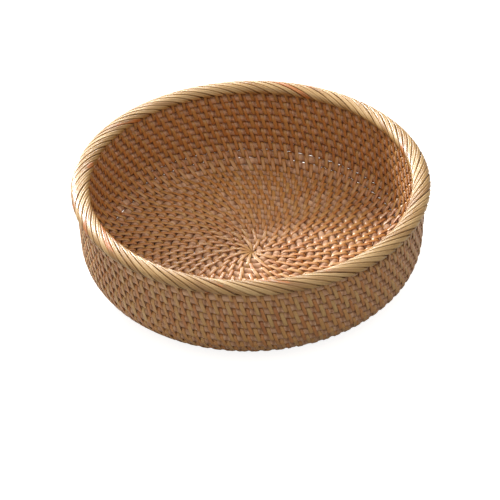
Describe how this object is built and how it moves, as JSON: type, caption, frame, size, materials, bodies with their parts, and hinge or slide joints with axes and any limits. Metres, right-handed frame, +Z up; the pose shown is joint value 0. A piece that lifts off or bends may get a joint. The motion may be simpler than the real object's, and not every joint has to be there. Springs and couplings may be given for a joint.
{
  "type": "coiled winnowing basket",
  "caption": "Round shallow winnowing basket of coiled rattan rod lashed with flat cane, with a flat floor, rounded corner, upright wall and thick rope-bound rim.",
  "frame": {"origin": "centre of the floor's underside, on the basket's axis", "axes": "+Z up through the open mouth; +X is where each turn of the coil starts; the row of stitches climbs anticlockwise seen from above"},
  "size_m": [0.2206, 0.2206, 0.0624],
  "materials": {
    "rattan_core": "matt round rattan core, pinkish brown",
    "lashing_cane": "satin flat cane, golden to orange brown",
    "rim_cane": "satin flat cane, pale straw"
  },
  "bodies": {
    "root": {"corner_coil_lower": "rattan_core", "corner_coil_upper": "rattan_core", "floor_coil_inner": "rattan_core", "floor_coil_outer": "rattan_core", "lashing_row_02": "lashing_cane", "lashing_row_03": "lashing_cane", "lashing_row_04": "lashing_cane", "lashing_row_05": "lashing_cane", "lashing_row_06": "lashing_cane", "lashing_row_07": "lashing_cane", "lashing_row_08": "lashing_cane", "lashing_row_09": "lashing_cane", "lashing_row_10": "lashing_cane", "lashing_row_11": "lashing_cane", "lashing_row_12": "lashing_cane", "lashing_row_13": "lashing_cane", "lashing_row_14": "lashing_cane", "lashing_row_15": "lashing_cane", "lashing_row_16": "lashing_cane", "lashing_row_17": "lashing_cane", "lashing_row_18": "lashing_cane", "lashing_row_19": "lashing_cane", "lashing_row_20": "lashing_cane", "lashing_row_21": "lashing_cane", "lashing_row_22": "lashing_cane", "lashing_row_23": "lashing_cane", "lashing_row_24": "lashing_cane", "lashing_row_25": "lashing_cane", "lashing_row_26": "lashing_cane", "lashing_row_27": "lashing_cane", "rim_hoop_inner": "rattan_core", "rim_hoop_outer": "rattan_core", "rim_lashing": "lashing_cane", "rim_strand_1": "rim_cane", "rim_strand_2": "rim_cane", "rim_strand_3": "rim_cane", "rim_strand_4": "rim_cane", "rim_strand_5": "rim_cane", "rim_strand_6": "rim_cane", "wall_coil_lower": "rattan_core", "wall_coil_upper": "rattan_core"}
  },
  "joints": []
}
